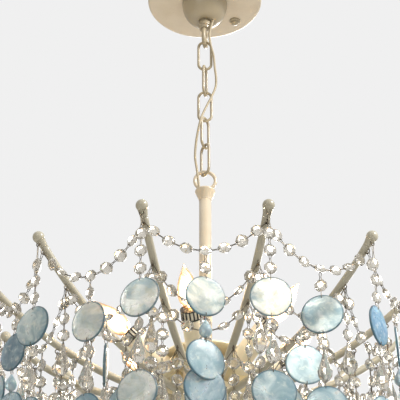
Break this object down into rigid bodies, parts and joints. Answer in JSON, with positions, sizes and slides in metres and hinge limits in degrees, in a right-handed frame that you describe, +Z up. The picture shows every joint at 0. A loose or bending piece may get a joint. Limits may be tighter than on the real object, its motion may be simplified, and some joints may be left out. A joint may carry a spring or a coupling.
{
  "type": "chandelier",
  "caption": "Small chain-hung chandelier with curved cream arms, crystal swags, hanging aqua glass discs and candle lamps.",
  "frame": {"origin": "middle of the ceiling face, at the centre of the bracket's two screw holes", "axes": "+Z up to the ceiling, -Y towards the viewer, +X to the viewer's right"},
  "size_m": [0.5069, 0.5016, 0.8372],
  "materials": {
    "cream_paint": "warm cream satin paint",
    "zinc": "zinc-plated pressed steel",
    "cable_sheath": "cream flexible sheath",
    "wire": "dull pewter wire",
    "candle_sleeve": "ivory candle tube",
    "lampholder": "black moulded lampholder",
    "bulb_cap": "plated screw cap",
    "bulb_glass": "clear flame-shaped glass",
    "filament": "warm glowing filament",
    "crystal": "clear cut glass",
    "aqua_glass": "mottled aqua glass, polished, with a darker rim"
  },
  "bodies": {
    "ceiling_fixing": {"ceiling_bracket": "zinc", "stud_bar": "zinc", "canopy_nuts": "cream_paint", "nipple_nut": "zinc", "canopy": "cream_paint", "canopy_boss": "cream_paint", "loop_collar": "cream_paint", "canopy_loop": "cream_paint"},
    "chain_link_1": {"chain_link_1": "cream_paint"},
    "chain_link_2": {"chain_link_2": "cream_paint"},
    "chain_link_3": {"chain_link_3": "cream_paint"},
    "chain_link_4": {"chain_link_4": "cream_paint"},
    "chain_link_5": {"chain_link_5": "cream_paint"},
    "lamp": {"supply_cable": "cable_sheath", "stem_loop": "cream_paint", "stem": "cream_paint", "hub": "cream_paint", "hub_cover": "cream_paint", "arms": "cream_paint", "ball_tips": "cream_paint", "arm_hooks": "wire", "candle_cups": "cream_paint", "candle_sleeves": "candle_sleeve", "lampholders": "lampholder", "bulb_caps": "bulb_cap", "bulb_glass": "bulb_glass", "bulb_filaments": "filament", "crown_swag_beads": "crystal", "inner_swag_beads": "crystal", "swag_pins": "wire", "tier_2_drops": "aqua_glass", "tier_3_drops": "aqua_glass", "tier_4_drops": "aqua_glass", "bottom_finial": "cream_paint"},
    "tip_drop_01": {"tip_drop_01": "aqua_glass"},
    "tip_drop_02": {"tip_drop_02": "aqua_glass"},
    "tip_drop_03": {"tip_drop_03": "aqua_glass"},
    "tip_drop_04": {"tip_drop_04": "aqua_glass"},
    "tip_drop_05": {"tip_drop_05": "aqua_glass"},
    "tip_drop_06": {"tip_drop_06": "aqua_glass"},
    "tip_drop_07": {"tip_drop_07": "aqua_glass"},
    "tip_drop_08": {"tip_drop_08": "aqua_glass"},
    "tip_drop_09": {"tip_drop_09": "aqua_glass"},
    "tip_drop_10": {"tip_drop_10": "aqua_glass"},
    "tip_drop_11": {"tip_drop_11": "aqua_glass"},
    "tip_drop_12": {"tip_drop_12": "aqua_glass"},
    "swag_drop_01": {"swag_drop_01": "aqua_glass"},
    "swag_drop_02": {"swag_drop_02": "aqua_glass"},
    "swag_drop_03": {"swag_drop_03": "aqua_glass"},
    "swag_drop_04": {"swag_drop_04": "aqua_glass"},
    "swag_drop_05": {"swag_drop_05": "aqua_glass"},
    "swag_drop_06": {"swag_drop_06": "aqua_glass"},
    "swag_drop_07": {"swag_drop_07": "aqua_glass"},
    "swag_drop_08": {"swag_drop_08": "aqua_glass"},
    "swag_drop_09": {"swag_drop_09": "aqua_glass"},
    "swag_drop_10": {"swag_drop_10": "aqua_glass"},
    "swag_drop_11": {"swag_drop_11": "aqua_glass"},
    "swag_drop_12": {"swag_drop_12": "aqua_glass"},
    "ball_drop": {"ball_drop": "crystal"}
  },
  "joints": [
    {"name": "link_1_swing", "type": "hinge", "parent": "ceiling_fixing", "child": "chain_link_1", "pos_m": [0, 0, -0.09525], "axis": [0.1736, 0.9848, 0], "range_deg": [-25, 25]},
    {"name": "link_2_swing", "type": "hinge", "parent": "chain_link_1", "child": "chain_link_2", "pos_m": [0, 0, -0.1348], "axis": [1, 0, 0], "range_deg": [-25, 25]},
    {"name": "link_3_swing", "type": "hinge", "parent": "chain_link_2", "child": "chain_link_3", "pos_m": [0, 0, -0.1753], "axis": [-0.2419, -0.9703, 0], "range_deg": [-25, 25]},
    {"name": "link_4_swing", "type": "hinge", "parent": "chain_link_3", "child": "chain_link_4", "pos_m": [0, 0, -0.2158], "axis": [-1, 0, 0], "range_deg": [-25, 25]},
    {"name": "link_5_swing", "type": "hinge", "parent": "chain_link_4", "child": "chain_link_5", "pos_m": [0, 0, -0.2563], "axis": [-0.5299, -0.848, 0], "range_deg": [-25, 25]},
    {"name": "lamp_swing", "type": "hinge", "parent": "chain_link_5", "child": "lamp", "pos_m": [0, 0, -0.2968], "axis": [-0.5736, 0.8192, 0], "range_deg": [-25, 25], "deforming": ["supply_cable"]},
    {"name": "tip_drop_01_swing", "type": "hinge", "parent": "lamp", "child": "tip_drop_01", "pos_m": [0.0647, -0.24148, -0.4969], "axis": [-0.9659, -0.2588, 0], "range_deg": [-3, 25]},
    {"name": "tip_drop_02_swing", "type": "hinge", "parent": "lamp", "child": "tip_drop_02", "pos_m": [0.17678, -0.17678, -0.4969], "axis": [-0.7071, -0.7071, 0], "range_deg": [-3, 25]},
    {"name": "tip_drop_03_swing", "type": "hinge", "parent": "lamp", "child": "tip_drop_03", "pos_m": [0.24148, -0.0647, -0.4969], "axis": [-0.2588, -0.9659, 0], "range_deg": [-3, 25]},
    {"name": "tip_drop_04_swing", "type": "hinge", "parent": "lamp", "child": "tip_drop_04", "pos_m": [0.24148, 0.0647, -0.4969], "axis": [0.2588, -0.9659, 0], "range_deg": [-3, 25]},
    {"name": "tip_drop_05_swing", "type": "hinge", "parent": "lamp", "child": "tip_drop_05", "pos_m": [0.17678, 0.17678, -0.4969], "axis": [0.7071, -0.7071, 0], "range_deg": [-3, 25]},
    {"name": "tip_drop_06_swing", "type": "hinge", "parent": "lamp", "child": "tip_drop_06", "pos_m": [0.0647, 0.24148, -0.4969], "axis": [0.9659, -0.2588, 0], "range_deg": [-3, 25]},
    {"name": "tip_drop_07_swing", "type": "hinge", "parent": "lamp", "child": "tip_drop_07", "pos_m": [-0.0647, 0.24148, -0.4969], "axis": [0.9659, 0.2588, 0], "range_deg": [-3, 25]},
    {"name": "tip_drop_08_swing", "type": "hinge", "parent": "lamp", "child": "tip_drop_08", "pos_m": [-0.17678, 0.17678, -0.4969], "axis": [0.7071, 0.7071, 0], "range_deg": [-3, 25]},
    {"name": "tip_drop_09_swing", "type": "hinge", "parent": "lamp", "child": "tip_drop_09", "pos_m": [-0.24148, 0.0647, -0.4969], "axis": [0.2588, 0.9659, 0], "range_deg": [-3, 25]},
    {"name": "tip_drop_10_swing", "type": "hinge", "parent": "lamp", "child": "tip_drop_10", "pos_m": [-0.24148, -0.0647, -0.4969], "axis": [-0.2588, 0.9659, 0], "range_deg": [-3, 25]},
    {"name": "tip_drop_11_swing", "type": "hinge", "parent": "lamp", "child": "tip_drop_11", "pos_m": [-0.17678, -0.17678, -0.4969], "axis": [-0.7071, 0.7071, 0], "range_deg": [-3, 25]},
    {"name": "tip_drop_12_swing", "type": "hinge", "parent": "lamp", "child": "tip_drop_12", "pos_m": [-0.0647, -0.24148, -0.4969], "axis": [-0.9659, 0.2588, 0], "range_deg": [-3, 25]},
    {"name": "swag_drop_01_swing", "type": "hinge", "parent": "lamp", "child": "swag_drop_01", "pos_m": [0.11736, -0.20327, -0.54596], "axis": [-0.866, -0.5, 0], "range_deg": [-3, 25]},
    {"name": "swag_drop_02_swing", "type": "hinge", "parent": "lamp", "child": "swag_drop_02", "pos_m": [0.20327, -0.11736, -0.54177], "axis": [-0.5, -0.866, 0], "range_deg": [-3, 25]},
    {"name": "swag_drop_03_swing", "type": "hinge", "parent": "lamp", "child": "swag_drop_03", "pos_m": [0.23472, 0, -0.54432], "axis": [0, -1, 0], "range_deg": [-3, 25]},
    {"name": "swag_drop_04_swing", "type": "hinge", "parent": "lamp", "child": "swag_drop_04", "pos_m": [0.20327, 0.11736, -0.54834], "axis": [0.5, -0.866, 0], "range_deg": [-3, 25]},
    {"name": "swag_drop_05_swing", "type": "hinge", "parent": "lamp", "child": "swag_drop_05", "pos_m": [0.11736, 0.20327, -0.54348], "axis": [0.866, -0.5, 0], "range_deg": [-3, 25]},
    {"name": "swag_drop_06_swing", "type": "hinge", "parent": "lamp", "child": "swag_drop_06", "pos_m": [0, 0.23472, -0.54596], "axis": [1, 0, 0], "range_deg": [-3, 25]},
    {"name": "swag_drop_07_swing", "type": "hinge", "parent": "lamp", "child": "swag_drop_07", "pos_m": [-0.11736, 0.20327, -0.54177], "axis": [0.866, 0.5, 0], "range_deg": [-3, 25]},
    {"name": "swag_drop_08_swing", "type": "hinge", "parent": "lamp", "child": "swag_drop_08", "pos_m": [-0.20327, 0.11736, -0.54912], "axis": [0.5, 0.866, 0], "range_deg": [-3, 25]},
    {"name": "swag_drop_09_swing", "type": "hinge", "parent": "lamp", "child": "swag_drop_09", "pos_m": [-0.23472, 0, -0.54432], "axis": [0, 1, 0], "range_deg": [-3, 25]},
    {"name": "swag_drop_10_swing", "type": "hinge", "parent": "lamp", "child": "swag_drop_10", "pos_m": [-0.20327, -0.11736, -0.54676], "axis": [-0.5, 0.866, 0], "range_deg": [-3, 25]},
    {"name": "swag_drop_11_swing", "type": "hinge", "parent": "lamp", "child": "swag_drop_11", "pos_m": [-0.11736, -0.20327, -0.55361], "axis": [-0.866, 0.5, 0], "range_deg": [-3, 25]},
    {"name": "swag_drop_12_swing", "type": "hinge", "parent": "lamp", "child": "swag_drop_12", "pos_m": [0, -0.23472, -0.54177], "axis": [-1, 0, 0], "range_deg": [-3, 25]},
    {"name": "ball_swing", "type": "hinge", "parent": "lamp", "child": "ball_drop", "pos_m": [0, 0, -0.6424], "axis": [0, 1, 0], "range_deg": [-4, 4]}
  ]
}
